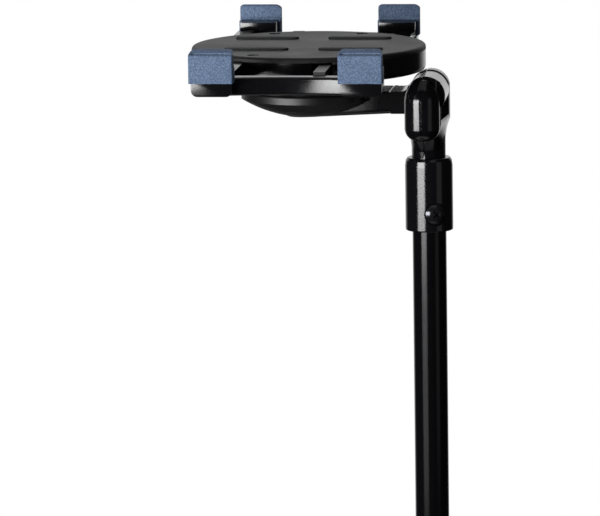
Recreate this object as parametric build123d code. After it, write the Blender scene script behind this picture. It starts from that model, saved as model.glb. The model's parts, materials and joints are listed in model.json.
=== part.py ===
from build123d import *
from math import acos, atan2, cos, degrees, pi, sin, sqrt, tan, radians
import os

# Adjustable tablet floor stand: a weighted round foot, a telescopic pole with a
# lever clamp, a tilting yoke, a swivelling arm and a cradle whose four jaws close
# together on a rack and pinion. Millimetres, Z up, front of the stand towards -Y.
# The origin is the centre of the foot's underside, on the axis of the pole.

# Fits
press_gap = 0.05
running_gap = 0.05
slide_gap = 0.3
overrun = 1.0
hexagon_sides = 6

# Foot
mat_thickness = 2.0
mat_hole_radius = 16.0
mat_inset = 5.0
base_radius = 150.0
base_thickness = 8.0
base_edge = 3.0
base_lower_edge = 1.0
base_bolt_radius = 4.0
base_bolt_head_radius = 7.0
base_bolt_head_height = 3.6
base_bolt_thread_length = 10.0
base_bolt_edge = 1.2
base_washer_radius = 9.0
base_washer_thickness = 1.0
base_recess_radius = 11.0
base_recess_depth = 5.0
driver_recess_radius = 2.5
driver_recess_depth = 2.0

# Pole socket on the foot
socket_foot_radius = 32.0
socket_foot_height = 4.0
socket_neck_radius = 16.0
socket_neck_height = 30.0
socket_height = 46.0
socket_floor = 12.0
socket_edge = 1.5
socket_screw_radius = 2.5
socket_screw_drop = 10.0

# Pole tubes
lower_tube_radius = 11.0
lower_tube_wall = 1.5
lower_tube_length = 588.0
upper_tube_radius = 8.0
upper_tube_wall = 1.2
upper_tube_length = 596.0
plug_head_length = 12.0
plug_spigot_length = 14.0
bush_length = 24.0
bush_flange = 2.0

# Height clamp and its lever
clamp_radius = 16.0
clamp_top_radius = 14.0
clamp_skirt = 26.0
clamp_height = 52.0
clamp_edge = 1.5
clamp_slit = 2.0
ear_reach = 27.0
ear_half_width = 8.0
ear_height = 20.0
ear_top_drop = 3.0
ear_corner = 4.0
clamp_bolt_radius = 2.5
clamp_bolt_inset = 5.5
clamp_nut_radius = 5.0
clamp_nut_thickness = 5.0
clamp_bolt_end = 1.5
cam_washer_radius = 5.5
cam_washer_thickness = 1.5
cam_radius = 6.5
cam_offset = 0.4
cam_running_gap = 0.1
bolt_eye_radius = 4.5
bolt_eye_thickness = 5.0
lever_pin_radius = 2.0
lever_height = 15.0
lever_thickness = 4.0
lever_gap = 2.0
lever_edge = 1.2
lever_start_angle = -60.0
lever_end_angle = -168.0
lever_wedge_shares = (0, 0.33, 0.67, 1)

# Neck collar at the top of the pole
collar_radius = 11.25
collar_length = 34.5
collar_shoulder_width = 1.2
collar_shoulder_height = 4.0
collar_shoulder_share = 0.33
collar_lower_edge = 0.7
collar_tube_depth = 16.0
collar_web = 4.0
collar_screw_angle = 22.0
collar_screw_height = 8.5
collar_screw_head_radius = 5.0
collar_screw_head_height = 2.0
collar_screw_dome = 0.5
collar_screw_radius = 2.0
collar_screw_rim = 0.5
collar_screw_seat = 1.6
cross_recess_width = 1.1
cross_recess_length = 5.6
cross_recess_depth = 1.1
pan_screw_radius = 2.5
pan_screw_head_radius = 4.5
pan_screw_head_height = 3.4
pan_screw_engagement = 12.0
pan_washer_thickness = 1.0
thrust_washer_radius = 6.0
thrust_washer_thickness = 1.0

# Yoke and tilt hinge
neck_radius = 8.0
neck_blend_radius = 7.6
hinge_rise = 30.4
barrel_radius = 9.4
knuckle_radius = 9.0
knuckle_front = -12.0
knuckle_back = 10.4
friction_washer_thickness = 0.5
friction_washer_radius = 8.4
front_ear_thickness = 2.9
rear_ear_thickness = 7.1
saddle_half_width = 9.4
saddle_front_half_width = 8.4
saddle_drop = 13.5
saddle_floor_drop = 11.6
saddle_corner = 3.5
neck_drop = 28.0
neck_top_drop = 20.0
pill_radius = 8.3
pill_centre_x = -1.6
pill_centre_y = -14.7
pill_top = 8.4
pill_bottom = -20.9
pill_bottom_corner = 6.0
pill_dome_height = 11.5
seam_width = 0.5
seam_depth = 0.5
hinge_bolt_radius = 2.5
hinge_bolt_head_radius = 5.2
hinge_bolt_head_height = 4.0
hinge_bolt_edge = 0.8
hinge_bolt_sink = 4.6
hinge_bush_wall = 1.6
hinge_nut_radius = 4.0
hinge_nut_thickness = 4.0
hinge_bolt_tail = 1.0

# Arm and swivel hub
arm_reach = 56.0
arm_half_width = 12.0
arm_underside = -8.6
arm_seam = -0.4
arm_top = 1.9
arm_step = 15.6
arm_edge = 1.2
arm_sweep_radius = 5.0
arm_cover_end = 16.6
keel_bottom = -11.0
keel_edge = 2.4
hub_radius = 32.0
hub_rim_drop = 1.6
hub_bottom = -11.2
hub_cap_radius = 22.6
hub_cap_rim = -5.0
hub_cap_wall = 2.0
hub_cap_gap = 0.12
hub_boss_radius = 14.0
hub_boss_top = 9.6
hub_floor = -2.0
hub_recess_radius = 17.0
hub_bolt_radius = 4.0
hub_bolt_head_radius = 7.0
hub_bolt_head_height = 2.6
hub_bush_wall = 2.0
spring_washer_radius = 8.0
spring_washer_thickness = 1.2
hub_nut_radius = 7.0
hub_nut_thickness = 4.5

# Cradle
cradle_radius = 55.0
cradle_underside = 10.6
cradle_floor = 2.2
cradle_wall_height = 9.8
cradle_cover_thickness = 2.4
cradle_lower_edge = 2.4
cradle_cover_edge = 1.6
cradle_pad_thickness = 1.2
cradle_pad_edge = 0.4
cradle_pad_sink = 0.2
cradle_pad_length = 30.0
cradle_pad_width = 6.0
cradle_pad_place = 22.0
cradle_screw_inset = 7.5
cradle_screw_radius = 1.5
cradle_screw_head_radius = 2.8
cradle_screw_head_height = 1.6
cradle_screw_seat = 0.3
cradle_screw_slot_length = 3.5
cradle_screw_slot_width = 0.5

# Racks and pinion
gear_module = 1.5
pinion_teeth = 12
pinion_thickness = 4.0
pinion_pin_radius = 3.0
gear_backlash = 0.3
pressure_angle = 20.0
rack_depth = 5.5
rack_inner_reach = 24.0
cradle_closing = 24.0
root_depth_share = 1.25
pinion_tip_share = 0.85
rack_tip_share = 0.65
flank_shares = (0, 0.33, 0.67, 1)

# Jaws and their bars
tablet_thickness = 6.2
tablet_half_width = 94.0
front_rail_place = 29.0
rear_rail_place = 39.0
rail_width = 8.0
rail_height = 7.0
front_rail_reach = 14.0
rear_rail_reach = 7.0
jaw_place = 33.9
bar_front = 93.0
bar_back = 81.0
bar_height = 8.3
bar_underside = 9.9
bar_bow = 5.5
bar_edge = 1.2
bar_end = 4.7
jaw_width = 18.9
jaw_back = 82.0
jaw_front = 94.5
jaw_corner = 3.0
jaw_core_thickness = 1.8
sleeve_width = 20.2
sleeve_front = 98.0
sleeve_skirt = 13.6
sleeve_brow = 1.0
sleeve_lip_rise = 1.5
sleeve_crown = 91.8
sleeve_nose = 89.7
sleeve_nose_slope = 1.0
sleeve_corner = 2.6
sleeve_edge = 0.8
tablet_gap = 0.3
jaw_underside = 10.0
jaw_ledge_drop = 0.3
jaw_neck_width = 17.6
jaw_neck_front = 96.9
sleeve_back = 90.0

# How far the pole stands out of its clamp at rest
extension = 384.1

# Heights that follow from the sizes above
base_low = mat_thickness
base_high = base_low + base_thickness
tube_low = base_high + socket_floor
tube_high = tube_low + lower_tube_length
clamp_low = tube_high - clamp_skirt
clamp_high = clamp_low + clamp_height
collar_low = clamp_high + extension
upper_tube_high = collar_low + collar_tube_depth
upper_tube_low = upper_tube_high - upper_tube_length
web_high = upper_tube_high + collar_web
collar_high = collar_low + collar_length
hinge_height = collar_high + hinge_rise
hub_place = -arm_reach
front_ear_inner = knuckle_front - friction_washer_thickness - running_gap
rear_ear_inner = knuckle_back + friction_washer_thickness + running_gap
front_ear_face = front_ear_inner - front_ear_thickness
rear_ear_face = rear_ear_inner + rear_ear_thickness
cradle_low = hinge_height + cradle_underside
channel_low = cradle_low + cradle_floor
cover_low = cradle_low + cradle_wall_height
cover_high = cover_low + cradle_cover_thickness
tablet_low = cover_high + cradle_pad_thickness - cradle_pad_sink
tablet_high = tablet_low + tablet_thickness
rail_low = channel_low + slide_gap
pitch_radius = gear_module * pinion_teeth / 2
pinion_low = channel_low + hub_bolt_head_height + slide_gap
clamp_bolt_place = ear_reach - clamp_bolt_inset
clamp_bolt_height = clamp_high - ear_top_drop - ear_height / 2
cam_washer_face = -ear_half_width - cam_washer_thickness
lever_pin_place = cam_washer_face - cam_radius - cam_offset - cam_running_gap
collar_screw_floor = upper_tube_radius + collar_screw_seat
spigot_low = web_high + pan_washer_thickness + running_gap
pan_screw_seat = upper_tube_high - thrust_washer_thickness - running_gap
hinge_nut_near = front_ear_inner - front_ear_thickness / 2
hinge_nut_far = hinge_nut_near - hinge_nut_thickness
hub_nut_high = hub_floor - 2 * running_gap - spring_washer_thickness
hub_bolt_low = hub_nut_high - hub_nut_thickness
tooth_pitch = pi * gear_module
gear_root_depth = gear_module * root_depth_share
rack_back = pitch_radius + gear_root_depth + rack_depth

upright = (Align.CENTER, Align.CENTER, Align.MIN)
half_turn = 180.0
quarter_turn = 90.0
rightward = (1, 0, 0)
forward = (0, -1, 0)
upward = (0, 0, 1)


def rod(radius, low, high, x=0, y=0):
    """A round bar standing upright."""
    return Pos(x, y, low) * Cylinder(radius, high - low, align=upright)


def ring(outer, inner, low, high, x=0, y=0):
    """An upright tube, washer or bush."""
    return rod(outer, low, high, x, y) - rod(inner, low - overrun, high + overrun, x, y)


def cross_rod(radius, near, far, x, z):
    """A round bar along Y."""
    return Pos(x, near, z) * Rot(-quarter_turn, 0, 0) * Cylinder(radius, far - near, align=upright)


def block(x_low, x_high, y_low, y_high, z_low, z_high):
    """A box between two corners."""
    corner = (Align.MIN, Align.MIN, Align.MIN)
    return Pos(x_low, y_low, z_low) * Box(x_high - x_low, y_high - y_low, z_high - z_low, align=corner)


def turned(points):
    """A solid turned about the pole's axis from an outline of (radius, height)."""
    outline = Polyline(*[(radius, 0, height) for radius, height in points], close=True)
    return revolve(make_face(outline), Axis.Z)


def edges_at(solid, height):
    """The edges that lie at one height."""
    return solid.edges().filter_by_position(Axis.Z, height - press_gap, height + press_gap)


def corner_reach(half_width):
    """The distance to a hexagon's corners, from half its width across the flats."""
    return half_width / cos(radians(half_turn / hexagon_sides))


def hexagon(half_width, low, high):
    """An upright six-sided bar, measured half way across its flats."""
    return Pos(0, 0, low) * extrude(RegularPolygon(corner_reach(half_width), hexagon_sides), high - low)


def build_floor_mat():
    return ring(base_radius - mat_inset, mat_hole_radius, 0, mat_thickness)


def build_base_plate():
    plate = rod(base_radius, base_low, base_high)
    plate = fillet(edges_at(plate, base_high), base_edge)
    plate = chamfer(edges_at(plate, base_low), base_lower_edge)
    plate -= rod(base_recess_radius, base_low - overrun, base_low + base_recess_depth)
    plate -= rod(base_bolt_radius + slide_gap, base_low, base_high + overrun)
    return plate


def build_bolt_washer():
    high = base_low + base_recess_depth
    return ring(base_washer_radius, base_bolt_radius + slide_gap, high - base_washer_thickness, high)


def build_base_bolt():
    seat = base_low + base_recess_depth - base_washer_thickness
    head = rod(base_bolt_head_radius, seat - base_bolt_head_height, seat)
    head = fillet(edges_at(head, seat - base_bolt_head_height), base_bolt_edge)
    driver = hexagon(driver_recess_radius, seat - base_bolt_head_height - overrun,
                     seat - base_bolt_head_height + driver_recess_depth)
    return head - driver + rod(base_bolt_radius, seat, base_high + base_bolt_thread_length)


def build_pole_socket():
    high = base_high + socket_height
    neck = base_high + socket_neck_height
    foot = base_high + socket_foot_height
    outline = Polyline((socket_foot_radius, foot), (socket_foot_radius, base_high), (0, base_high), (0, high),
                       (socket_neck_radius, high), (socket_neck_radius, neck))
    outline += TangentArc((socket_neck_radius, neck), (socket_foot_radius, foot), tangent=(0, -1))
    body = revolve(Plane.XZ * make_face(outline), Axis.Z)
    body = fillet(edges_at(body, high), socket_edge)
    body -= rod(lower_tube_radius + press_gap, tube_low, high + overrun)
    body -= rod(base_bolt_radius + press_gap, base_low, base_high + base_bolt_thread_length + slide_gap)
    for side in (-1, 1):
        body -= socket_screw(side, 0, socket_neck_radius + overrun, socket_screw_radius + press_gap)
    return body


def socket_screw(side, start, end, radius):
    """A round bar that points out of the socket, where its grub screws are."""
    place = base_high + socket_height - socket_screw_drop
    bar = Cylinder(radius, end - start, align=upright)
    return Pos(side * start, 0, place) * Rot(0, side * quarter_turn, 0) * bar


def build_socket_screws():
    screws = []
    depth = socket_screw_radius / 2
    for side in (-1, 1):
        end = side * (socket_neck_radius - depth)
        key = Pos(end, 0, base_high + socket_height - socket_screw_drop)
        key *= Rot(0, side * quarter_turn, 0)
        screw = socket_screw(side, lower_tube_radius + press_gap, socket_neck_radius, socket_screw_radius)
        screws.append(screw - key * hexagon(socket_screw_radius / 2, 0, depth + overrun))
    return Compound(children=screws)


def build_lower_tube():
    return ring(lower_tube_radius, lower_tube_radius - lower_tube_wall, tube_low, tube_high)


def build_guide_bush():
    bore = upper_tube_radius + running_gap
    sleeve = ring(lower_tube_radius - lower_tube_wall - press_gap, bore, tube_high - bush_length, tube_high)
    return sleeve + ring(lower_tube_radius, bore, tube_high, tube_high + bush_flange)


def ear_block(inner):
    """The pair of ears that the clamp bolt draws together, before they are slit."""
    high = clamp_high - ear_top_drop
    low = high - ear_height
    ears = block(inner, ear_reach, -ear_half_width, ear_half_width, low, high)
    corners = ears.edges().filter_by(Axis.Y).filter_by_position(
        Axis.X, ear_reach - press_gap, ear_reach + press_gap)
    return fillet(corners, ear_corner)


def clamp_rod(radius, near, far):
    """A round bar on the axis of the clamp bolt."""
    return cross_rod(radius, near, far, clamp_bolt_place, clamp_bolt_height)


def pin_rod(radius, half_height):
    """A round bar on the axis of the lever's pin, as far above the clamp bolt as below it."""
    low = clamp_bolt_height - half_height
    return rod(radius, low, clamp_bolt_height + half_height, clamp_bolt_place, lever_pin_place)


def build_clamp_body():
    bush_high = tube_high + bush_flange
    body = turned([
        (0, clamp_low), (clamp_radius, clamp_low), (clamp_radius, bush_high),
        (clamp_top_radius, clamp_high), (0, clamp_high)])
    body = fillet(edges_at(body, clamp_low) + edges_at(body, clamp_high), clamp_edge)
    body += ear_block(upper_tube_radius + clamp_slit)
    body -= rod(lower_tube_radius + press_gap, clamp_low - overrun, bush_high)
    body -= rod(upper_tube_radius + running_gap, clamp_low, clamp_high + overrun)
    body -= block(0, ear_reach + overrun, -clamp_slit / 2, clamp_slit / 2, bush_high + clamp_slit,
                  clamp_high + overrun)
    body -= block(0, ear_reach + overrun, -ear_half_width - overrun, ear_half_width + overrun,
                  bush_high, bush_high + clamp_slit)
    reach = ear_half_width + overrun
    return body - clamp_rod(clamp_bolt_radius + slide_gap, -reach, reach)


def build_cam_washer():
    washer = clamp_rod(cam_washer_radius, cam_washer_face, -ear_half_width)
    return washer - clamp_rod(clamp_bolt_radius + slide_gap, cam_washer_face - overrun, ear_half_width)


def build_clamp_bolt():
    bolt_end = ear_half_width + clamp_nut_thickness + clamp_bolt_end
    bolt = pin_rod(bolt_eye_radius, bolt_eye_thickness / 2)
    bolt += clamp_rod(clamp_bolt_radius, lever_pin_place, bolt_end)
    return bolt - pin_rod(lever_pin_radius + press_gap, lever_height)


def build_clamp_nut():
    nut = Rot(-quarter_turn, 0, 0) * hexagon(clamp_nut_radius, 0, clamp_nut_thickness)
    nut = Pos(clamp_bolt_place, ear_half_width, clamp_bolt_height) * nut
    far = ear_half_width + clamp_nut_thickness + overrun
    return nut - clamp_rod(clamp_bolt_radius + press_gap, ear_half_width - overrun, far)


def build_lever_pin():
    return pin_rod(lever_pin_radius, lever_height / 2)


def build_cam_lever():
    inner = clamp_radius + lever_gap
    outer = inner + lever_thickness
    middle = (inner + outer) / 2
    low = clamp_bolt_height - lever_height / 2
    pin = Vector(clamp_bolt_place, lever_pin_place)
    start = Vector(middle * cos(radians(lever_start_angle)), middle * sin(radians(lever_start_angle)))
    end = Vector(middle * cos(radians(lever_end_angle)), middle * sin(radians(lever_end_angle)))
    band = Circle(outer) - Circle(inner)
    sweep = lever_end_angle - lever_start_angle
    reach = 2 * outer
    wedge_points = [(0, 0)]
    for share in lever_wedge_shares:
        angle = radians(lever_start_angle + sweep * share)
        wedge_points.append((reach * cos(angle), reach * sin(angle)))
    band &= make_face(Polyline(*wedge_points, close=True))
    arm = start - pin
    side = Vector(-arm.Y, arm.X).normalized() * (lever_thickness / 2)
    link = make_face(Polyline(pin + side, start + side, start - side, pin - side, close=True))
    plan = band + link + Pos(start.X, start.Y) * Circle(lever_thickness / 2)
    plan += Pos(end.X, end.Y) * Circle(lever_thickness / 2 + lever_edge)
    cam = Pos(pin.X, pin.Y + cam_offset) * Circle(cam_radius)
    lever = Pos(0, 0, low) * extrude(plan + cam, lever_height, dir=upward)
    lever -= pin_rod(bolt_eye_radius + slide_gap, bolt_eye_thickness / 2 + slide_gap)
    bolt_way = clamp_bolt_radius + slide_gap
    swing = block(pin.X - bolt_way, pin.X + 2 * cam_radius, pin.Y - 2 * cam_radius, pin.Y + 2 * cam_radius,
                  low, low + lever_height)
    lever -= swing & pin_rod(cam_radius + overrun, bolt_way)
    return lever - pin_rod(lever_pin_radius + running_gap, lever_height)


def build_upper_tube():
    tube = ring(upper_tube_radius, upper_tube_radius - upper_tube_wall, upper_tube_low, upper_tube_high)
    return tube - collar_screw_shank(press_gap)


def build_slide_plug():
    head_low = upper_tube_low - plug_head_length
    head = rod(lower_tube_radius - lower_tube_wall - running_gap, head_low, upper_tube_low)
    head = chamfer(edges_at(head, head_low), slide_gap)
    return head + rod(upper_tube_radius - upper_tube_wall - press_gap, upper_tube_low,
                      upper_tube_low + plug_spigot_length)


def towards_screw(solid):
    """Turns a solid that points along +X so that it points along the collar screw."""
    turn = collar_screw_angle - quarter_turn
    return Pos(0, 0, collar_low + collar_screw_height) * Rot(0, 0, turn) * Rot(0, quarter_turn, 0) * solid


def collar_screw_shank(gap):
    start = upper_tube_radius - upper_tube_wall - collar_screw_rim
    shank = Cylinder(collar_screw_radius + gap, collar_screw_floor - start + gap, align=upright)
    return towards_screw(Pos(0, 0, start) * shank)


def build_neck_collar():
    body = turned([
        (0, collar_low), (collar_radius, collar_low),
        (collar_radius, collar_high - collar_shoulder_height),
        (collar_radius - collar_shoulder_width * collar_shoulder_share,
         collar_high - collar_shoulder_height * collar_shoulder_share),
        (collar_radius - collar_shoulder_width, collar_high), (0, collar_high)])
    body = fillet(edges_at(body, collar_high), collar_shoulder_width / 2)
    body = fillet(edges_at(body, collar_low), collar_lower_edge)
    body -= rod(upper_tube_radius + press_gap, collar_low - overrun, upper_tube_high)
    body -= rod(pan_screw_radius + slide_gap, upper_tube_high - overrun, collar_high)
    body -= rod(neck_radius + running_gap, web_high, collar_high + overrun)
    well = Cylinder(collar_screw_head_radius + collar_screw_rim, collar_radius, align=upright)
    body -= towards_screw(Pos(0, 0, collar_screw_floor) * well)
    return body - collar_screw_shank(press_gap)


def build_collar_screw():
    dome_radius = (collar_screw_head_radius ** 2 + collar_screw_dome ** 2) / (2 * collar_screw_dome)
    top = collar_screw_floor + collar_screw_head_height
    head = Pos(0, 0, collar_screw_floor) * Cylinder(
        collar_screw_head_radius, collar_screw_head_height + collar_screw_dome, align=upright)
    head &= Pos(0, 0, top + collar_screw_dome - dome_radius) * Sphere(dome_radius)
    depth = collar_screw_dome + cross_recess_depth
    for turn in (-quarter_turn / 2, quarter_turn / 2):
        arm = Box(cross_recess_length, cross_recess_width, depth, align=upright)
        head -= Pos(0, 0, top - cross_recess_depth) * Rot(0, 0, turn) * arm
    return towards_screw(head) + collar_screw_shank(0)


def build_pan_washer():
    bore = pan_screw_radius + slide_gap
    return ring(neck_radius - slide_gap, bore, web_high, web_high + pan_washer_thickness)


def build_thrust_washer():
    return ring(thrust_washer_radius, pan_screw_radius + slide_gap,
                upper_tube_high - thrust_washer_thickness, upper_tube_high)


def build_pan_screw():
    head = rod(pan_screw_head_radius, pan_screw_seat - pan_screw_head_height, pan_screw_seat)
    head -= hexagon(driver_recess_radius, pan_screw_seat - pan_screw_head_height - overrun,
                    pan_screw_seat - pan_screw_head_height + driver_recess_depth)
    return head + rod(pan_screw_radius, pan_screw_seat, spigot_low + pan_screw_engagement)


def build_yoke_pill(inset):
    """The rounded pod on the front ear, turned about an upright axis in front of the hinge."""
    radius = pill_radius - inset
    corner = pill_bottom_corner - inset
    top = pill_top - inset
    low = pill_bottom + inset
    flat = radius - corner
    outline = Line((0, low), (flat, low))
    outline += CenterArc((flat, low + corner), corner, -quarter_turn, quarter_turn)
    shoulder = top - pill_dome_height
    slant = sqrt(1 / 2)
    outline += Line((radius, low + corner), (radius, shoulder))
    outline += Spline((radius, shoulder), (radius * slant, shoulder + pill_dome_height * slant), (0, top),
                      tangents=((0, 1), (-1, 0)))
    outline += Line((0, top), (0, low))
    pod = revolve(Plane.XZ * make_face(outline), Axis.Z)
    return Pos(pill_centre_x, pill_centre_y, hinge_height) * pod


def saddle_section(inset):
    """The yoke's plan at the saddle: its front is as wide as the pod and centred on it."""
    front = front_ear_face + inset
    rear = rear_ear_face - inset
    front_half = saddle_front_half_width - inset
    rear_half = saddle_half_width - inset
    front_left = (pill_centre_x - front_half, front)
    front_right = (pill_centre_x + front_half, front)
    outline = Polyline(front_left, front_right, (rear_half, rear), (-rear_half, rear), close=True)
    return fillet(make_face(outline).vertices(), saddle_corner)


def build_yoke_outer(inset):
    """The yoke's whole outer form, drawn in by an inset."""
    depth = rear_ear_face - front_ear_face - 2 * inset
    saddle = hinge_height - saddle_drop
    neck = hinge_height - neck_drop
    section = saddle_section(inset)
    body = rod(neck_radius - inset, spigot_low, hinge_height - neck_top_drop)
    body += loft([Pos(0, 0, neck) * Circle(neck_blend_radius - inset), Pos(0, 0, saddle) * section])
    barrel = barrel_radius - inset
    lower = Polyline((-barrel, -saddle_drop), (barrel, -saddle_drop), (barrel, 0), (-barrel, 0), close=True)
    ear = make_face(lower) + Circle(barrel)
    ears = Pos(0, rear_ear_face - inset, hinge_height) * extrude(Plane.XZ * ear, depth, dir=forward)
    column = extrude(section, saddle_drop + barrel_radius)
    ears &= Pos(0, 0, saddle) * column
    return body + ears + build_yoke_pill(inset)


def hinge_rod(radius, near, far):
    """A round bar on the tilt axis."""
    return cross_rod(radius, near, far, 0, hinge_height)


def build_yoke():
    body = build_yoke_outer(0)
    seam = block(pill_centre_x - seam_width / 2, pill_centre_x + seam_width / 2,
                 pill_centre_y - 2 * pill_radius, rear_ear_face + overrun,
                 collar_high + seam_width, hinge_height + barrel_radius + overrun)
    body -= seam - build_yoke_outer(seam_depth)
    body -= block(-2 * saddle_half_width, 2 * saddle_half_width, front_ear_inner, rear_ear_inner,
                  hinge_height - saddle_floor_drop, hinge_height + 2 * barrel_radius)
    head_floor = rear_ear_face - hinge_bolt_sink
    body -= hinge_rod(hinge_bolt_head_radius + slide_gap, head_floor, rear_ear_face + overrun)
    tail_end = hinge_nut_far - hinge_bolt_tail - slide_gap
    body -= hinge_rod(hinge_bolt_radius + press_gap, tail_end, rear_ear_face)
    body -= hinge_rod(corner_reach(hinge_nut_radius) + press_gap, hinge_nut_far - press_gap, hinge_nut_near)
    body -= rod(pan_screw_radius + press_gap, spigot_low - overrun,
                spigot_low + pan_screw_engagement + slide_gap)
    return body


def build_yoke_half(side):
    """One of the two mouldings that meet on the parting plane through the pod."""
    far = pill_centre_x + side * 2 * barrel_radius
    low, high = sorted((pill_centre_x, far))
    return build_yoke() & block(low, high, pill_centre_y - 2 * pill_radius, 2 * rear_ear_face,
                                spigot_low - overrun, hinge_height + 2 * barrel_radius)


def build_hinge_bolt():
    seat = rear_ear_face - hinge_bolt_sink
    top = seat + hinge_bolt_head_height
    head = hinge_rod(hinge_bolt_head_radius, seat, top)
    head = fillet(head.edges().filter_by_position(Axis.Y, top - press_gap, top + press_gap), hinge_bolt_edge)
    key = Pos(0, top - driver_recess_depth, hinge_height)
    key *= Rot(-quarter_turn, 0, 0)
    head -= key * hexagon(driver_recess_radius, 0, driver_recess_depth + overrun)
    return head + hinge_rod(hinge_bolt_radius, hinge_nut_far - hinge_bolt_tail, seat)


def build_hinge_nut():
    nut = Rot(quarter_turn, 0, 0) * hexagon(hinge_nut_radius, 0, hinge_nut_thickness - press_gap)
    nut = Pos(0, hinge_nut_near, hinge_height) * nut
    return nut - hinge_rod(hinge_bolt_radius + press_gap, hinge_nut_far - overrun, hinge_nut_near + overrun)


def cross_ring(outer, inner, near, far):
    """A washer or bush on the tilt axis."""
    return hinge_rod(outer, near, far) - hinge_rod(inner, near - overrun, far + overrun)


def build_friction_washers():
    front = cross_ring(friction_washer_radius, hinge_bolt_radius + slide_gap,
                       front_ear_inner, front_ear_inner + friction_washer_thickness)
    rear = cross_ring(friction_washer_radius, hinge_bolt_radius + slide_gap,
                      rear_ear_inner - friction_washer_thickness, rear_ear_inner)
    return Compound(children=[front, rear])


def build_hinge_bush():
    return cross_ring(hinge_bolt_radius + hinge_bush_wall, hinge_bolt_radius + running_gap,
                      knuckle_front, knuckle_back)


def at_hub(solid):
    """Moves a solid from the pole's axis to the swivel axis, at the height of the tilt axis."""
    return Pos(hub_place, 0, hinge_height) * solid


def build_hub_dish(inset):
    """The bowl under the swivel, as a solid of revolution about the swivel axis."""
    rim = hub_radius - inset
    low = hub_bottom + inset
    rim_low = arm_seam - hub_rim_drop
    bowl = (rim ** 2 + (rim_low - low) ** 2) / (2 * (rim_low - low))
    angle = degrees(atan2(rim, bowl - (rim_low - low)))
    outline = CenterArc((0, low + bowl), bowl, -quarter_turn, angle)
    outline += Line((rim, rim_low), (rim, arm_seam))
    outline += Line((rim, arm_seam), (0, arm_seam))
    outline += Line((0, arm_seam), (0, low))
    return at_hub(revolve(Plane.XZ * make_face(outline), Axis.Z))


def build_keel():
    """The beam from the swivel to the tilt hinge. Its underside drops towards its nose at the swivel."""
    nose = hub_place - arm_half_width
    far = -arm_step
    side = Polyline((nose, arm_seam), (nose, keel_bottom), (far, arm_underside), (far, arm_seam),
                    close=True)
    beam = extrude(Plane.XZ * make_face(side), 2 * arm_half_width, dir=forward)
    beam = Pos(0, arm_half_width, hinge_height) * beam
    plan = block(hub_place, far, -arm_half_width, arm_half_width, hinge_height + keel_bottom, hinge_height)
    plan += at_hub(rod(arm_half_width, keel_bottom, 0))
    keel = beam & plan
    lower = keel.edges().filter_by_position(Axis.Z, hinge_height + keel_bottom - press_gap,
                                            hinge_height + arm_underside - press_gap)
    return fillet(lower - lower.filter_by(Axis.Z), keel_edge)


def build_underside():
    """The bowl and the keel of the arm in one form."""
    return build_hub_dish(0) + build_keel()


def hub_cap_lid(gap):
    """The space of the round lid let into the bowl."""
    return at_hub(rod(hub_cap_radius + gap, hub_bottom - overrun, hub_cap_rim + gap))


def build_tongue():
    """The end of the arm between the yoke's ears. Its top sweeps up to the round knuckle."""
    centre_height = arm_top + arm_sweep_radius
    reach = knuckle_radius + arm_sweep_radius
    centre_place = -sqrt(reach ** 2 - centre_height ** 2)
    share = knuckle_radius / reach
    touch = (centre_place * share, centre_height * share)
    end_angle = degrees(atan2(touch[1] - centre_height, touch[0] - centre_place))
    outline = Line((-arm_step - overrun, arm_top), (centre_place, arm_top))
    outline += CenterArc((centre_place, centre_height), arm_sweep_radius, -quarter_turn,
                         end_angle + quarter_turn)
    outline += Polyline(touch, (0, 0), (0, arm_underside), (-arm_step - overrun, arm_underside),
                        (-arm_step - overrun, arm_top))
    tongue = extrude(Plane.XZ * make_face(outline), knuckle_back - knuckle_front, dir=forward)
    tongue = Pos(0, knuckle_back, hinge_height) * tongue
    return tongue + hinge_rod(knuckle_radius, knuckle_front, knuckle_back)


def build_arm_shell():
    body = build_underside() + build_tongue()
    body += block(-arm_cover_end, -arm_step + overrun / 2, -arm_half_width,
                  arm_half_width, hinge_height + arm_seam - overrun, hinge_height + arm_top)
    body -= hub_cap_lid(hub_cap_gap)
    body -= at_hub(rod(hub_recess_radius, hub_bottom - overrun, hub_floor))
    body += at_hub(ring(hub_boss_radius, hub_bolt_radius + hub_bush_wall, hub_floor, hub_boss_top))
    hub_bore = hub_bolt_radius + hub_bush_wall + press_gap
    body -= at_hub(rod(hub_bore, hub_floor - overrun, hub_boss_top + overrun))
    hinge_bore = hinge_bolt_radius + hinge_bush_wall + press_gap
    return body - hinge_rod(hinge_bore, knuckle_front - overrun, knuckle_back + overrun)


def build_arm_cover():
    disc = at_hub(rod(hub_radius, arm_seam, arm_top))
    far = -arm_cover_end - running_gap
    plate = disc + block(hub_place, far, -arm_half_width, arm_half_width, hinge_height + arm_seam,
                         hinge_height + arm_top)
    plate = fillet(edges_at(plate, hinge_height + arm_top), arm_edge)
    return plate - at_hub(rod(hub_boss_radius + press_gap, arm_seam - overrun, arm_top + overrun))


def build_hub_cap():
    lid = hub_cap_lid(0) & build_underside()
    pocket = at_hub(rod(hub_recess_radius, hub_bottom - overrun, hub_cap_rim + overrun))
    return lid - (pocket & build_hub_dish(hub_cap_wall))


def build_hub_bush():
    flange = at_hub(ring(hub_boss_radius - slide_gap, hub_bolt_radius + running_gap, hub_boss_top,
                         cradle_underside - running_gap))
    return flange + at_hub(ring(hub_bolt_radius + hub_bush_wall, hub_bolt_radius + running_gap,
                                hub_floor, hub_boss_top))


def build_spring_washer():
    return at_hub(ring(spring_washer_radius, hub_bolt_radius + slide_gap,
                       hub_floor - running_gap - spring_washer_thickness, hub_floor - running_gap))


def build_hub_nut():
    nut = at_hub(hexagon(hub_nut_radius, hub_bolt_low, hub_nut_high))
    return nut - at_hub(rod(hub_bolt_radius + press_gap, hub_bolt_low - overrun, hub_nut_high + overrun))


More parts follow.
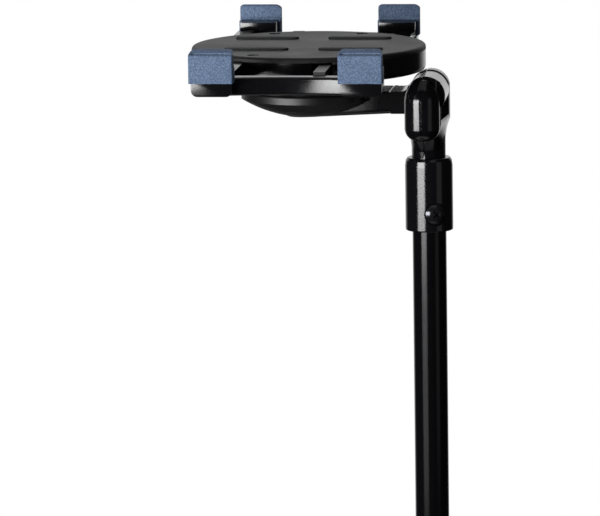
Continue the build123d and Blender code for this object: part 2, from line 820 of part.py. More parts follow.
def build_hub_bolt():
    head_low = cradle_underside + cradle_floor
    head = at_hub(rod(hub_bolt_head_radius, head_low, head_low + hub_bolt_head_height))
    return head + at_hub(rod(hub_bolt_radius, hub_bolt_low, head_low))


def rail_pair(place, inner, outer, low, high, width):
    """Two rails of a carriage, from near the middle of the cradle out to the bar."""
    rails = [block(hub_place + side * place - width / 2, hub_place + side * place + width / 2,
                   min(inner, outer), max(inner, outer), low, high) for side in (-1, 1)]
    return rails[0] + rails[1]


def channel_pair(place, inner, outer):
    """The grooves that a carriage's rails run in."""
    return rail_pair(place, inner, outer, channel_low, cover_low + overrun, rail_width + 2 * slide_gap)


def screw_corners():
    """The four places round the cradle where a screw finds a full wall."""
    reach = cradle_radius - cradle_screw_inset
    across = front_rail_place - rail_width
    along = sqrt(reach ** 2 - across ** 2)
    return [(hub_place + side * across, front * along) for side in (-1, 1) for front in (-1, 1)]


def build_cradle_base():
    body = Pos(hub_place) * rod(cradle_radius, cradle_low, cover_low)
    body = fillet(edges_at(body, cradle_low), cradle_lower_edge)
    travel = cradle_closing + slide_gap
    body -= channel_pair(front_rail_place, front_rail_reach + travel, -cradle_radius)
    body -= channel_pair(rear_rail_place, -rear_rail_reach - travel, cradle_radius)
    body -= Pos(hub_place) * rod(pitch_radius + gear_module + slide_gap + gear_backlash, channel_low,
                                 cover_low + overrun)
    for side in (-1, 1):
        inner = side * (pitch_radius - gear_module - slide_gap)
        inner, outer = sorted((inner, side * (rack_back + slide_gap)))
        near, far = sorted((-side * cradle_radius, side * (rack_inner_reach + travel)))
        body -= block(hub_place + inner, hub_place + outer, near, far, channel_low, cover_low + overrun)
    body -= Pos(hub_place) * rod(hub_bolt_head_radius + slide_gap, channel_low, cover_low)
    body -= Pos(hub_place) * rod(hub_bolt_radius + press_gap, cradle_low - overrun, channel_low + overrun)
    for x, y in screw_corners():
        body -= rod(cradle_screw_radius + press_gap, channel_low, cover_low + overrun, x, y)
    return body


def pad_places():
    return [(hub_place + side_x * cradle_pad_place, side_y * cradle_pad_place)
            for side_x in (-1, 1) for side_y in (-1, 1)]


def build_cradle_cover():
    body = Pos(hub_place) * rod(cradle_radius, cover_low, cover_high)
    body = fillet(edges_at(body, cover_high), cradle_cover_edge)
    for x, y in pad_places():
        body -= pad_form(x, y, press_gap, cover_high - cradle_pad_sink, cover_high + overrun)
    seat = cover_high - cradle_screw_head_height - cradle_screw_seat
    for x, y in screw_corners():
        body -= rod(cradle_screw_radius + press_gap, cover_low - overrun, cover_high, x, y)
        body -= rod(cradle_screw_head_radius + press_gap, seat, cover_high + overrun, x, y)
    return body + Pos(hub_place) * rod(pinion_pin_radius, pinion_low, cover_low)


def pad_form(x, y, gap, low, high):
    slot = SlotOverall(cradle_pad_length + 2 * gap, cradle_pad_width + 2 * gap)
    return Pos(x, y, low) * extrude(slot, high - low)


def build_cradle_pads():
    low = cover_high - cradle_pad_sink
    pads = [pad_form(x, y, 0, low, tablet_low) for x, y in pad_places()]
    return Compound(children=[fillet(edges_at(pad, tablet_low), cradle_pad_edge) for pad in pads])


def build_cradle_screws():
    seat = cover_high - cradle_screw_head_height - cradle_screw_seat
    screws = []
    for x, y in screw_corners():
        screw = rod(cradle_screw_head_radius, seat, seat + cradle_screw_head_height, x, y)
        depth = cradle_screw_head_height / 2
        for turn in (0, quarter_turn):
            slot = Box(cradle_screw_slot_length, cradle_screw_slot_width, depth + overrun, align=upright)
            screw -= Pos(x, y, seat + depth) * Rot(0, 0, turn) * slot
        screws.append(screw + rod(cradle_screw_radius, channel_low + slide_gap, seat, x, y))
    return Compound(children=screws)


def flank_point(radius, side):
    """A point of an involute flank, on a tooth centred on +X."""
    pressure = radians(pressure_angle)
    local = acos(min(pitch_radius * cos(pressure) / radius, 1))
    half_angle = (tooth_pitch / 2 - gear_backlash) / 2 / pitch_radius
    half_angle += tan(pressure) - pressure - tan(local) + local
    return radius * cos(half_angle), side * radius * sin(half_angle)


def build_pinion():
    root = pitch_radius - gear_module
    base = pitch_radius * cos(radians(pressure_angle))
    tip = pitch_radius + gear_module * pinion_tip_share
    radii = [base + (tip - base) * share for share in flank_shares]
    inner = root - gear_module / 2
    foot = flank_point(base, 1)[1]
    lower = [flank_point(radius, -1) for radius in radii]
    upper = [flank_point(radius, 1) for radius in reversed(radii)]
    tooth = make_face(Polyline((inner, -foot), *lower, *upper, (inner, foot), close=True))
    wheel = Circle(root)
    for number in range(pinion_teeth):
        wheel += Rot(0, 0, 2 * half_turn * number / pinion_teeth) * tooth
    gear = Pos(hub_place, 0, pinion_low) * extrude(wheel, pinion_thickness, dir=upward)
    return gear - rod(pinion_pin_radius + running_gap, pinion_low - overrun,
                      pinion_low + pinion_thickness + overrun, hub_place)


def build_front_rack():
    """The toothed strip of the front carriage, from its bar to past the pinion."""
    root = pitch_radius + gear_root_depth
    tip = pitch_radius - gear_module * rack_tip_share
    half_tooth = (tooth_pitch / 2 - gear_backlash) / 2
    slope = tan(radians(pressure_angle))
    root_half = half_tooth + (root - pitch_radius) * slope
    tip_half = half_tooth - (pitch_radius - tip) * slope
    tooth = Polyline((root, -root_half), (tip, -tip_half), (tip, tip_half), (root, root_half), close=True)
    tooth = Pos(0, 0, pinion_low) * extrude(make_face(tooth), pinion_thickness, dir=upward)
    strip = block(root, rack_back, -bar_back, rack_inner_reach, pinion_low, pinion_low + pinion_thickness)
    reach = int(rack_inner_reach / tooth_pitch - 1 / 2)
    for number in range(-reach - 2, reach + 1):
        strip += Pos(0, (number + 1 / 2) * tooth_pitch) * tooth
    return Pos(hub_place) * strip


def to_rear(solid):
    """Turns a piece of the front carriage half round the swivel axis, to its place at the rear."""
    return Pos(hub_place) * Rot(0, 0, half_turn) * Pos(-hub_place) * solid


def bar_form(gap):
    """The bar that joins two jaws, hollow along its front, grown by a gap."""
    end = jaw_place + bar_end + gap
    front = -bar_front - gap
    back = -bar_back + gap
    plan = ThreePointArc((-end, front), (0, front + bar_bow), (end, front))
    plan += Polyline((end, front), (end, back), (-end, back), (-end, front))
    low = hinge_height + bar_underside - gap
    return Pos(hub_place, 0, low) * extrude(make_face(plan), bar_height + 2 * gap, dir=upward)


def build_bar(rail_place, rail_reach):
    """The front carriage's bar with its two rails."""
    bar = bar_form(0)
    rims = [edge for height in (bar_underside, bar_underside + bar_height)
            for edge in edges_at(bar, hinge_height + height).filter_by(GeomType.CIRCLE)]
    bar = fillet(rims, bar_edge)
    rail_end = -bar_back - bar_edge
    return bar + rail_pair(rail_place, rail_reach, rail_end, rail_low, rail_low + rail_height, rail_width)


def build_jaw(side, rail_place):
    """The hook of one front jaw: foot, neck and the core inside its soft sleeve."""
    middle = hub_place + side * jaw_place
    low = hinge_height + jaw_underside
    seat = tablet_high - sleeve_skirt
    foot = block(middle - jaw_width / 2, middle + jaw_width / 2, -jaw_front, -jaw_back, low, seat)
    foot = fillet(edges_at(foot, low).filter_by(Axis.Y), jaw_corner)
    half_neck = jaw_neck_width / 2
    hook = foot + block(middle - half_neck, middle + half_neck, -jaw_neck_front, -jaw_back, seat,
                        tablet_low - jaw_ledge_drop)
    hook += jaw_core(middle, 0)
    hook -= bar_form(press_gap)
    return hook - rail_pair(rail_place, -jaw_back + overrun, -bar_back - bar_edge, rail_low - press_gap,
                            rail_low + rail_height + press_gap, rail_width + 2 * press_gap)


def jaw_core(middle, gap):
    """The upright plate inside the sleeve."""
    half = jaw_neck_width / 2 + gap
    back = -jaw_neck_front + jaw_core_thickness + gap
    low = tablet_low - jaw_ledge_drop - overrun
    high = tablet_high + sleeve_brow + gap
    return block(middle - half, middle + half, -jaw_neck_front - gap, back, low, high)


def build_pad(side):
    """The soft sleeve of one front jaw, with the lip that reaches over the tablet's edge."""
    middle = hub_place + side * jaw_place
    inner = -tablet_half_width - tablet_gap
    profile = Polyline(
        (-sleeve_front, tablet_high - sleeve_skirt), (-sleeve_front, tablet_high - sleeve_brow),
        (-sleeve_crown, tablet_high + sleeve_lip_rise),
        (-sleeve_nose - sleeve_nose_slope, tablet_high + sleeve_lip_rise),
        (-sleeve_nose, tablet_high + sleeve_lip_rise / 2), (-sleeve_nose, tablet_high + tablet_gap),
        (inner, tablet_high + tablet_gap), (inner, tablet_low - jaw_ledge_drop + press_gap),
        (-sleeve_back, tablet_low - jaw_ledge_drop + press_gap), (-sleeve_back, tablet_high - sleeve_skirt),
        close=True)
    sleeve = extrude(Plane.YZ * make_face(profile), sleeve_width, dir=rightward)
    sleeve = Pos(middle - sleeve_width / 2) * sleeve
    plan = Rectangle(sleeve_width, 2 * (sleeve_front - sleeve_nose), align=(Align.CENTER, Align.MIN))
    plan = fillet(plan.vertices().group_by(Axis.Y)[0], sleeve_edge)
    plan = Pos(middle, -sleeve_front, tablet_high - sleeve_skirt) * plan
    sleeve &= extrude(plan, 2 * sleeve_skirt, dir=upward)
    face = Rectangle(sleeve_width, 2 * sleeve_skirt)
    face = fillet(face.vertices().group_by(Axis.Y)[-1], sleeve_corner)
    face = Pos(middle, 0, tablet_high + sleeve_lip_rise - sleeve_skirt) * (Plane.XZ * face)
    sleeve &= extrude(face, 2 * sleeve_front, dir=forward)
    half_neck = jaw_neck_width / 2 + press_gap
    sleeve -= block(middle - half_neck, middle + half_neck, -jaw_neck_front - press_gap, -jaw_back,
                    tablet_high - sleeve_skirt - overrun, tablet_low - jaw_ledge_drop + press_gap)
    return sleeve - jaw_core(middle, press_gap) - bar_form(press_gap)


parts = {
    "floor_mat": build_floor_mat(),
    "base_plate": build_base_plate(),
    "base_bolt": build_base_bolt(),
    "bolt_washer": build_bolt_washer(),
    "pole_socket": build_pole_socket(),
    "socket_screws": build_socket_screws(),
    "lower_tube": build_lower_tube(),
    "guide_bush": build_guide_bush(),
    "clamp_body": build_clamp_body(),
    "clamp_bolt": build_clamp_bolt(),
    "clamp_nut": build_clamp_nut(),
    "cam_washer": build_cam_washer(),
    "lever_pin": build_lever_pin(),
    "cam_lever": build_cam_lever(),
    "upper_tube": build_upper_tube(),
    "slide_plug": build_slide_plug(),
    "neck_collar": build_neck_collar(),
    "collar_screw": build_collar_screw(),
    "pan_washer": build_pan_washer(),
    "thrust_washer": build_thrust_washer(),
    "pan_screw": build_pan_screw(),
    "yoke_left": build_yoke_half(-1),
    "yoke_right": build_yoke_half(1),
    "hinge_bolt": build_hinge_bolt(),
    "hinge_nut": build_hinge_nut(),
    "friction_washers": build_friction_washers(),
    "hinge_bush": build_hinge_bush(),
    "arm_shell": build_arm_shell(),
    "arm_cover": build_arm_cover(),
    "hub_cap": build_hub_cap(),
    "hub_bush": build_hub_bush(),
    "hub_bolt": build_hub_bolt(),
    "hub_nut": build_hub_nut(),
    "spring_washer": build_spring_washer(),
    "cradle_base": build_cradle_base(),
    "cradle_cover": build_cradle_cover(),
    "cradle_screws": build_cradle_screws(),
    "cradle_pads": build_cradle_pads(),
    "pinion": build_pinion(),
    "front_bar": build_bar(front_rail_place, front_rail_reach),
    "front_rack": build_front_rack(),
    "front_left_jaw": build_jaw(-1, front_rail_place),
    "front_right_jaw": build_jaw(1, front_rail_place),
    "front_left_pad": build_pad(-1),
    "front_right_pad": build_pad(1),
    "rear_bar": to_rear(build_bar(rear_rail_place, rear_rail_reach)),
    "rear_rack": to_rear(build_front_rack()),
    "rear_left_jaw": to_rear(build_jaw(1, rear_rail_place)),
    "rear_right_jaw": to_rear(build_jaw(-1, rear_rail_place)),
    "rear_left_pad": to_rear(build_pad(1)),
    "rear_right_pad": to_rear(build_pad(-1)),
}

os.makedirs("parts", exist_ok=True)
for name, solid in parts.items():
    export_step(solid, f"parts/{name}.step")
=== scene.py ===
import json
from math import cos, pi, radians, sin

import bpy
from mathutils import Matrix, Vector

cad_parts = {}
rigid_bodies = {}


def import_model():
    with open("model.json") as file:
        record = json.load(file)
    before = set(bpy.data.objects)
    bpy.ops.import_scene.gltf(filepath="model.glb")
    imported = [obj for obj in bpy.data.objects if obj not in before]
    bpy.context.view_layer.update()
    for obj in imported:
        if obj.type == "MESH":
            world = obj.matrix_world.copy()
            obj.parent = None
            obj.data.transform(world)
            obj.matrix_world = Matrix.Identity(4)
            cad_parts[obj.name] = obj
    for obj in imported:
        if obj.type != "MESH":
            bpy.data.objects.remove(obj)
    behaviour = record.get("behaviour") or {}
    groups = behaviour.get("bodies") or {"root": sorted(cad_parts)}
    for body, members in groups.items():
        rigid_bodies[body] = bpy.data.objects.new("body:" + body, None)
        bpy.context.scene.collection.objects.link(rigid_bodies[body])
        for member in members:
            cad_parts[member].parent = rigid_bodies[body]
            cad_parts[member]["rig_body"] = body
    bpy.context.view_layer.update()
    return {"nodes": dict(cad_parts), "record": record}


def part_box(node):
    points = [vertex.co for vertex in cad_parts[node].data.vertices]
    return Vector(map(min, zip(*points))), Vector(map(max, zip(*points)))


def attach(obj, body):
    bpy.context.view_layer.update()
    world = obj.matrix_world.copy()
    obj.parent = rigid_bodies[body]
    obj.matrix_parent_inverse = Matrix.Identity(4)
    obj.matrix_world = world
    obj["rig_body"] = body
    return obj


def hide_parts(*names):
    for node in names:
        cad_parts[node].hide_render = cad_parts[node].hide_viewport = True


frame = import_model()

# Rubber mat under the foot, and the four strips on top of the cradle. Both are moulded nitrile rubber, matt and
# charcoal black, with a fine leathery grain from the mould. The mat is glued into the foot; the strips are
# pressed into shallow grooves in the cradle's cover.
mm = 0.001
leather_width = 1.6 * mm
leather_depth = 0.12 * mm

# Most of a noise pattern lies between these two values. The sockets that mix two colours, or two numbers, share
# their names with others, so they go by their places.
noise_middle = {"From Min": 0.3, "From Max": 0.7}
mix_share, first_number, second_number, first_colour, second_colour = 0, 2, 3, 6, 7
mixed_number, mixed_colour = 0, 2


def linear(code):
    """Turns an sRGB hex colour into the linear values that the nodes take."""
    channels = [int(code[place:place + 2], 16) / 255 for place in (1, 3, 5)]
    return [c / 12.92 if c <= 0.04045 else ((c + 0.055) / 1.055) ** 2.4 for c in channels] + [1.0]


def set_up(material, node, settings, links):
    """Sets a node's own values and its sockets, and links the outputs of other nodes to it."""
    for key, value in settings.items():
        if isinstance(key, int) or key in node.inputs:
            node.inputs[key].default_value = value
        else:
            setattr(node, key, value)
    for key, output in links.items():
        material.node_tree.links.new(output, node.inputs[key])


def add(material, kind, settings, links):
    """Adds a node to a material with its settings and links."""
    node = material.node_tree.nodes.new(kind)
    set_up(material, node, settings, links)
    return node


def new_material(name):
    """A material with its shader, and the object coordinates that its patterns read."""
    material = bpy.data.materials.new(name)
    material.use_nodes = True
    shader = material.node_tree.nodes["Principled BSDF"]
    place = add(material, "ShaderNodeTexCoord", {}, {}).outputs["Object"]
    return material, shader, place


def dress(material, *names):
    """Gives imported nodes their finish."""
    for name in names:
        for holder in frame["nodes"][name].material_slots:
            holder.material = material


def make_mat_rubber():
    """Nitrile rubber: the fillers make it dull, and the mould leaves a leathery grain."""
    material, shader, place = new_material("moulded_nitrile_rubber")
    leather = add(material, "ShaderNodeTexNoise", {"Scale": 1 / leather_width, "Detail": 3.0, "Roughness": 0.6},
                  {"Vector": place}).outputs["Fac"]
    crest = add(material, "ShaderNodeMapRange", noise_middle, {"Value": leather}).outputs["Result"]
    colour = add(material, "ShaderNodeMix", {"data_type": "RGBA", first_colour: linear("#17181a"),
                                             second_colour: linear("#232426")}, {mix_share: crest})
    roughness = add(material, "ShaderNodeMapRange", {**noise_middle, "To Min": 0.62, "To Max": 0.82},
                    {"Value": leather})
    relief = add(material, "ShaderNodeBump", {"Strength": 1.0, "Distance": leather_depth}, {"Height": leather})
    set_up(material, shader, {"IOR": 1.52},
           {"Base Color": colour.outputs[mixed_colour], "Roughness": roughness.outputs["Result"],
            "Normal": relief.outputs["Normal"]})
    return material


dress(make_mat_rubber(), "floor_mat", "cradle_pads")

# The foot's steel disc and the two pole tubes are mild steel under gloss black powder coat: nearly mirror
# smooth, with the faint orange peel that baked powder has. It shows as a slow wobble in the edges of a
# reflection.
peel_width = 5.0 * mm
peel_depth = 0.01 * mm
speck_width = 0.5 * mm


def make_black_powder_coat():
    """Gloss polyester powder over steel, with slightly duller specks where the powder flowed out less."""
    material, shader, place = new_material("gloss_black_powder_coat")
    peel = add(material, "ShaderNodeTexNoise", {"Scale": 1 / peel_width, "Detail": 1.0, "Roughness": 0.5},
               {"Vector": place}).outputs["Fac"]
    specks = add(material, "ShaderNodeTexNoise", {"Scale": 1 / speck_width, "Detail": 1.0, "Roughness": 0.6},
                 {"Vector": place}).outputs["Fac"]
    sparse = add(material, "ShaderNodeMapRange", {"From Min": 0.55, "From Max": 0.8},
                 {"Value": specks}).outputs["Result"]
    colour = add(material, "ShaderNodeMix", {"data_type": "RGBA", first_colour: linear("#08080a"),
                                             second_colour: linear("#141417")}, {mix_share: sparse})
    roughness = add(material, "ShaderNodeMapRange", {**noise_middle, "To Min": 0.09, "To Max": 0.15},
                    {"Value": specks})
    relief = add(material, "ShaderNodeBump", {"Strength": 0.4, "Distance": peel_depth}, {"Height": peel})
    set_up(material, shader, {"IOR": 1.36},
           {"Base Color": colour.outputs[mixed_colour], "Roughness": roughness.outputs["Result"],
            "Normal": relief.outputs["Normal"]})
    return material


dress(make_black_powder_coat(), "base_plate", "lower_tube", "upper_tube")

# Most of what is moulded is black ABS from a spark-eroded mould: deep black and glossy, with fine pits that
# break a highlight up into sand. It covers the socket, the clamp, the neck, the yoke, the cradle and the jaws.
pit_width = 0.5 * mm
pit_depth = 0.022 * mm
flow_width = 30 * mm


def make_black_abs(name, smoothest, roughest, depth):
    """Black ABS with a spark-eroded skin. Its pits are about 0.1 mm; they are drawn 0.5 mm wide to show."""
    material, shader, place = new_material(name)
    pits = add(material, "ShaderNodeTexNoise", {"Scale": 1 / pit_width, "Detail": 2.0, "Roughness": 0.7},
               {"Vector": place}).outputs["Fac"]
    flow = add(material, "ShaderNodeTexNoise", {"Scale": 1 / flow_width, "Detail": 1.0, "Roughness": 0.6},
               {"Vector": place}).outputs["Fac"]
    crest = add(material, "ShaderNodeMapRange", noise_middle, {"Value": pits}).outputs["Result"]
    colour = add(material, "ShaderNodeMix", {"data_type": "RGBA", first_colour: linear("#08080a"),
                                             second_colour: linear("#121215")}, {mix_share: crest})
    roughness = add(material, "ShaderNodeMapRange", {**noise_middle, "To Min": smoothest, "To Max": roughest},
                    {"Value": flow})
    relief = add(material, "ShaderNodeBump", {"Strength": 1.0, "Distance": depth}, {"Height": pits})
    set_up(material, shader, {"IOR": 1.53},
           {"Base Color": colour.outputs[mixed_colour], "Roughness": roughness.outputs["Result"],
            "Normal": relief.outputs["Normal"]})
    return material


jaws = ("front_left_jaw", "front_right_jaw", "rear_left_jaw", "rear_right_jaw")
bars_and_yoke = ("front_bar", "rear_bar", "yoke_left", "yoke_right")
dress(make_black_abs("spark_grained_black_abs", smoothest=0.09, roughest=0.14, depth=pit_depth), "pole_socket",
      "clamp_body", "cam_lever", "neck_collar", "cradle_base", *bars_and_yoke, *jaws)

# The cradle's cover is a flat disc of the same ABS, held down by four screws. Its mould is etched deeper than
# the others, so its top is matt and keeps no finger marks.
etch_depth = 0.06 * mm
dress(make_black_abs("matt_grained_black_abs", smoothest=0.50, roughest=0.60, depth=etch_depth), "cradle_cover")

# The jaws, bars, yoke halves and clamp lever are the mouldings that are seen close up. Like every moulding they
# leave the mould with small rounded edges. Each jaw's upright core ends inside its sleeve, 1.5 mm below the top
# of the space that the jaws grip.
merge_distance = 0.002 * mm
flat_angle = radians(0.5)
jaw_edge = 0.35 * mm
bar_and_yoke_edge = 0.3 * mm
lever_edge = 0.5 * mm
grip_top = frame["record"]["physics"]["openings"][0]["box_m"][1][2]
core_top = grip_top - 1.5 * mm


def select_only(piece):
    """Selects one piece and makes it the active one."""
    bpy.ops.object.select_all(action="DESELECT")
    piece.select_set(True)
    bpy.context.view_layer.objects.active = piece


def stand_in(piece, name):
    """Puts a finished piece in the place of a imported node, on the node's body."""
    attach(piece, frame["nodes"][name]["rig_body"])
    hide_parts(name)


def round_edges(piece, radius, limit):
    """Rounds the edges that turn by more than a limit in degrees."""
    edge = piece.modifiers.new("edge", "BEVEL")
    edge.width = radius
    edge.segments = 3
    edge.limit_method = "ANGLE"
    edge.angle_limit = radians(limit)
    bpy.ops.object.modifier_apply(modifier=edge.name)
    bpy.ops.object.shade_smooth_by_angle(angle=radians(limit))


def copy_node(name):
    """A copy of a node's object with its own closed mesh."""
    piece = bpy.data.objects.new(name + "_finished", frame["nodes"][name].data.copy())
    bpy.context.collection.objects.link(piece)
    select_only(piece)
    bpy.ops.mesh.customdata_custom_splitnormals_clear()
    bpy.ops.object.mode_set(mode="EDIT")
    bpy.ops.mesh.select_all(action="SELECT")
    bpy.ops.mesh.remove_doubles(threshold=merge_distance)
    bpy.ops.mesh.dissolve_limited(angle_limit=flat_angle)
    bpy.ops.object.mode_set(mode="OBJECT")
    return piece


def soften(name, radius, limit=30, top=None):
    """A copy of a node with its sharp edges rounded as a mould leaves them, cut level at top where one is given."""
    piece = copy_node(name)
    if top is not None:
        for point in piece.data.vertices:
            point.co.z = min(point.co.z, top)
    round_edges(piece, radius, limit)
    stand_in(piece, name)


for name in jaws:
    soften(name, jaw_edge, top=core_top)
for name in bars_and_yoke:
    soften(name, bar_and_yoke_edge)
soften("cam_lever", lever_edge)

# The arm carries the load, so its shell, cover and cap are glass filled nylon. Its bowl has a satin mould skin
# that goes softly from grey at the rim to black below; the beam is polished smooth.
mottle_width = 0.8 * mm
mottle_depth = 0.008 * mm
cap_low, cap_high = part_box("hub_cap")
satin_end = (cap_low[0] + cap_high[0]) / 2 + 20 * mm
gloss_start = satin_end + 14 * mm


def make_black_nylon():
    """Glass filled nylon. The fibres are 0.2 mm long; their mottle is drawn 0.8 mm wide to show."""
    material, shader, place = new_material("glass_filled_black_nylon")
    mottle = add(material, "ShaderNodeTexNoise", {"Scale": 1 / mottle_width, "Detail": 2.0, "Roughness": 0.6},
                 {"Vector": place}).outputs["Fac"]
    crest = add(material, "ShaderNodeMapRange", noise_middle, {"Value": mottle}).outputs["Result"]
    colour = add(material, "ShaderNodeMix", {"data_type": "RGBA", first_colour: linear("#0a0a0c"),
                                             second_colour: linear("#111113")}, {mix_share: crest})
    along = add(material, "ShaderNodeSeparateXYZ", {}, {"Vector": place}).outputs["X"]
    roughness = add(material, "ShaderNodeMapRange",
                    {"From Min": satin_end, "From Max": gloss_start, "To Min": 0.42, "To Max": 0.12},
                    {"Value": along})
    relief = add(material, "ShaderNodeBump", {"Strength": 0.6, "Distance": mottle_depth}, {"Height": mottle})
    set_up(material, shader, {"IOR": 1.53},
           {"Base Color": colour.outputs[mixed_colour], "Roughness": roughness.outputs["Result"],
            "Normal": relief.outputs["Normal"]})
    return material


dress(make_black_nylon(), "arm_shell", "arm_cover", "hub_cap")

# Screws that show are steel blackened with zinc and a passivating dip, a little brighter on the rims of their
# recesses. Hidden bolts, nuts, washers and the lever's pin are plain zinc plate, blue-white and lightly cloudy.
black_cloud_width = 1.2 * mm
bright_cloud_width = 2.0 * mm


def make_black_zinc():
    """Black passivated zinc: a dark metal with a slightly oily shine."""
    material, shader, place = new_material("black_zinc_plate")
    cloud = add(material, "ShaderNodeTexNoise", {"Scale": 1 / black_cloud_width, "Detail": 2.0, "Roughness": 0.6},
                {"Vector": place}).outputs["Fac"]
    crest = add(material, "ShaderNodeMapRange", noise_middle, {"Value": cloud}).outputs["Result"]
    colour = add(material, "ShaderNodeMix", {"data_type": "RGBA", first_colour: linear("#3a3a3e"),
                                             second_colour: linear("#4e4e52")}, {mix_share: crest})
    roughness = add(material, "ShaderNodeMapRange", {**noise_middle, "To Min": 0.12, "To Max": 0.20},
                    {"Value": cloud})
    set_up(material, shader, {"Metallic": 0.85},
           {"Base Color": colour.outputs[mixed_colour], "Roughness": roughness.outputs["Result"]})
    return material


def make_bright_zinc():
    """Bright zinc plate, with the soft clouding of barrel plated parts."""
    material, shader, place = new_material("bright_zinc_plate")
    cloud = add(material, "ShaderNodeTexNoise", {"Scale": 1 / bright_cloud_width, "Detail": 3.0, "Roughness": 0.6},
                {"Vector": place}).outputs["Fac"]
    crest = add(material, "ShaderNodeMapRange", noise_middle, {"Value": cloud}).outputs["Result"]
    colour = add(material, "ShaderNodeMix", {"data_type": "RGBA", first_colour: linear("#a9adb2"),
                                             second_colour: linear("#c6c9cc")}, {mix_share: crest})
    roughness = add(material, "ShaderNodeMapRange", {**noise_middle, "To Min": 0.24, "To Max": 0.40},
                    {"Value": cloud})
    set_up(material, shader, {"Metallic": 1.0},
           {"Base Color": colour.outputs[mixed_colour], "Roughness": roughness.outputs["Result"]})
    return material


black_zinc = make_black_zinc()
dress(black_zinc, "collar_screw", "cradle_screws", "socket_screws", "hinge_bolt")
dress(make_bright_zinc(), "base_bolt", "bolt_washer", "clamp_bolt", "clamp_nut", "cam_washer", "lever_pin",
      "thrust_washer", "pan_screw", "hinge_nut", "hub_bolt", "hub_nut", "spring_washer")

# The collar's screw is black zinc plated steel, cold headed, with a domed head and a cross recess tapered by
# the punch. It sits in the collar's well and points 22 degrees right of the front. Only its head is made here,
# because the collar hides the shank.
screw_turn = radians(22)
head_radius = 5.0 * mm
dome_rise = 2.0 * mm
rim_height = 0.6 * mm
head_seat = 9.6 * mm
head_rim = head_seat + rim_height
head_top = head_rim + dome_rise
head_edge = 0.18 * mm
dome_radius = (head_radius ** 2 + dome_rise ** 2) / (2 * dome_rise)
recess_length = 6.4 * mm
recess_width = 1.7 * mm
recess_depth = 1.9 * mm
recess_taper = 0.3
screw_low, screw_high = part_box("collar_screw")

bpy.ops.object.select_all(action="DESELECT")
bpy.ops.mesh.primitive_uv_sphere_add(segments=64, ring_count=96, radius=dome_radius,
                                     location=(0, 0, head_top - dome_radius))
head = bpy.context.object
head.name = "collar_screw_head"
bpy.ops.object.transform_apply()
bpy.ops.object.mode_set(mode="EDIT")
bpy.ops.mesh.select_all(action="SELECT")
bpy.ops.mesh.bisect(plane_co=(0, 0, head_rim), plane_no=(0, 0, 1), use_fill=True, clear_inner=True)
bpy.ops.mesh.extrude_region_move(TRANSFORM_OT_translate={"value": (0, 0, -rim_height)})
bpy.ops.object.mode_set(mode="OBJECT")

for turn in (pi / 4, -pi / 4):
    bpy.ops.mesh.primitive_cube_add(size=1, location=(0, 0, head_top), rotation=(0, 0, turn),
                                    scale=(recess_length, recess_width, 2 * recess_depth))
    punch = bpy.context.object
    bpy.ops.object.transform_apply()
    for point in punch.data.vertices:
        if point.co.z < head_top:
            point.co.x *= recess_taper
            point.co.y *= recess_taper
    select_only(head)
    cut = head.modifiers.new("recess", "BOOLEAN")
    cut.operation = "DIFFERENCE"
    cut.solver = "EXACT"
    cut.object = punch
    bpy.ops.object.modifier_apply(modifier=cut.name)
    bpy.data.objects.remove(punch)
round_edges(head, head_edge, limit=35)
head.rotation_euler = (pi / 2, 0, screw_turn)
head.location = (0, 0, (screw_low[2] + screw_high[2]) / 2)
bpy.ops.object.transform_apply()
head.data.materials.append(black_zinc)
stand_in(head, "collar_screw")

# Bushes, friction washers and the pinion are natural acetal: ivory white, waxy, machined or moulded smooth so
# that they slide without grease. The racks are moulded from the same resin with carbon black in it.
acetal_cloud_width = 4.0 * mm


def make_acetal(name, first, second):
    """Acetal, waxy and smooth, faintly clouded between two colours."""
    material, shader, place = new_material(name)
    cloud = add(material, "ShaderNodeTexNoise", {"Scale": 1 / acetal_cloud_width, "Detail": 2.0, "Roughness": 0.6},
                {"Vector": place}).outputs["Fac"]
    crest = add(material, "ShaderNodeMapRange", noise_middle, {"Value": cloud}).outputs["Result"]
    colour = add(material, "ShaderNodeMix", {"data_type": "RGBA", first_colour: linear(first),
                                             second_colour: linear(second)}, {mix_share: crest})
    roughness = add(material, "ShaderNodeMapRange", {**noise_middle, "To Min": 0.34, "To Max": 0.44},
                    {"Value": cloud})
    set_up(material, shader, {"IOR": 1.48},
           {"Base Color": colour.outputs[mixed_colour], "Roughness": roughness.outputs["Result"]})
    return material


dress(make_acetal("natural_acetal", "#dcd9d0", "#e8e6df"), "guide_bush", "slide_plug", "pan_washer",
      "friction_washers", "hinge_bush", "hub_bush", "pinion")
dress(make_acetal("black_acetal", "#0c0c0e", "#151518"), "front_rack", "rear_rack")

# The friction washers are flat rings of that acetal on the tilt hinge, clamped between the arm and the ears of
# the yoke. They are cut back to 6.2 mm from the hinge's axis, so that the ears cover their rims.
washer_radius = 6.2 * mm
washers = copy_node("friction_washers")
washer_low, washer_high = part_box("friction_washers")
hinge_axis = Vector(((washer_low[0] + washer_high[0]) / 2, 0, (washer_low[2] + washer_high[2]) / 2))
for point in washers.data.vertices:
    spoke = Vector((point.co.x, 0, point.co.z)) - hinge_axis
    if spoke.length > washer_radius:
        point.co -= spoke * (1 - washer_radius / spoke.length)
stand_in(washers, "friction_washers")

# The jaws' sleeves are soft thermoplastic elastomer, slate blue, pushed over the cores of the jaws. A sandy skin
# gives it grip. Its glitter is painted: lighter blue specks on the crests of the sand stand in for glints of light.
sand_width = 0.42 * mm
sand_depth = 0.05 * mm
bloom_width = 5.0 * mm
sleeve_edge = 0.6 * mm


